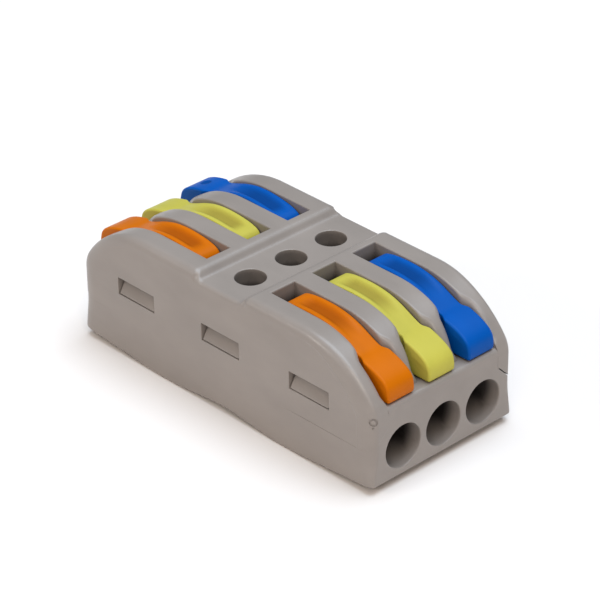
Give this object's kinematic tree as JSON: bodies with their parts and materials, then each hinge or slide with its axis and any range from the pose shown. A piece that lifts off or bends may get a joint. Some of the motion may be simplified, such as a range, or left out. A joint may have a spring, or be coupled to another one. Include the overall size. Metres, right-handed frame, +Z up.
{
  "type": "lever wire connector",
  "caption": "Inline lever wire connector: a grey plastic housing with clamp levers in three colours at both ends, over wire entries, and test ports in its deck.",
  "frame": {"origin": "under the middle of the housing, on the plane that its two feet rest on", "axes": "+X along the housing towards the front wire entries, +Y across towards the blue pole, +Z up"},
  "size_m": [0.0418, 0.0192, 0.0145],
  "materials": {
    "housing_base": "satin moulded warm grey",
    "housing_cover": "satin moulded warm grey",
    "lever_orange": "satin moulded orange",
    "lever_yellow": "satin moulded yellow",
    "lever_blue": "satin moulded blue",
    "tinned_copper": "dull tin plating",
    "spring_steel": "rolled stainless strip"
  },
  "bodies": {
    "housing": {"base": "housing_base", "cover": "housing_cover", "busbar_orange": "tinned_copper", "busbar_yellow": "tinned_copper", "busbar_blue": "tinned_copper", "spring_front_orange": "spring_steel", "spring_front_yellow": "spring_steel", "spring_front_blue": "spring_steel", "spring_rear_orange": "spring_steel", "spring_rear_yellow": "spring_steel", "spring_rear_blue": "spring_steel"},
    "lever_front_orange": {"lever_front_orange": "lever_orange"},
    "lever_front_yellow": {"lever_front_yellow": "lever_yellow"},
    "lever_front_blue": {"lever_front_blue": "lever_blue"},
    "lever_rear_orange": {"lever_rear_orange": "lever_orange"},
    "lever_rear_yellow": {"lever_rear_yellow": "lever_yellow"},
    "lever_rear_blue": {"lever_rear_blue": "lever_blue"}
  },
  "joints": [
    {"name": "front_orange_lever_hinge", "type": "hinge", "parent": "housing", "child": "lever_front_orange", "pos_m": [0.01, -0.0054, 0.011], "axis": [0, -1, 0], "range_deg": [0, 80], "deforming": ["spring_front_orange"]},
    {"name": "front_yellow_lever_hinge", "type": "hinge", "parent": "housing", "child": "lever_front_yellow", "pos_m": [0.01, 0, 0.011], "axis": [0, -1, 0], "range_deg": [0, 80], "deforming": ["spring_front_yellow"]},
    {"name": "front_blue_lever_hinge", "type": "hinge", "parent": "housing", "child": "lever_front_blue", "pos_m": [0.01, 0.0054, 0.011], "axis": [0, -1, 0], "range_deg": [0, 80], "deforming": ["spring_front_blue"]},
    {"name": "rear_orange_lever_hinge", "type": "hinge", "parent": "housing", "child": "lever_rear_orange", "pos_m": [-0.01, -0.0054, 0.011], "axis": [0, 1, 0], "range_deg": [-2.6, 77.4], "deforming": ["spring_rear_orange"]},
    {"name": "rear_yellow_lever_hinge", "type": "hinge", "parent": "housing", "child": "lever_rear_yellow", "pos_m": [-0.01, 0, 0.011], "axis": [0, 1, 0], "range_deg": [-2.6, 77.4], "deforming": ["spring_rear_yellow"]},
    {"name": "rear_blue_lever_hinge", "type": "hinge", "parent": "housing", "child": "lever_rear_blue", "pos_m": [-0.01, 0.0054, 0.011], "axis": [0, 1, 0], "range_deg": [-5.4, 74.6], "deforming": ["spring_rear_blue"]}
  ]
}
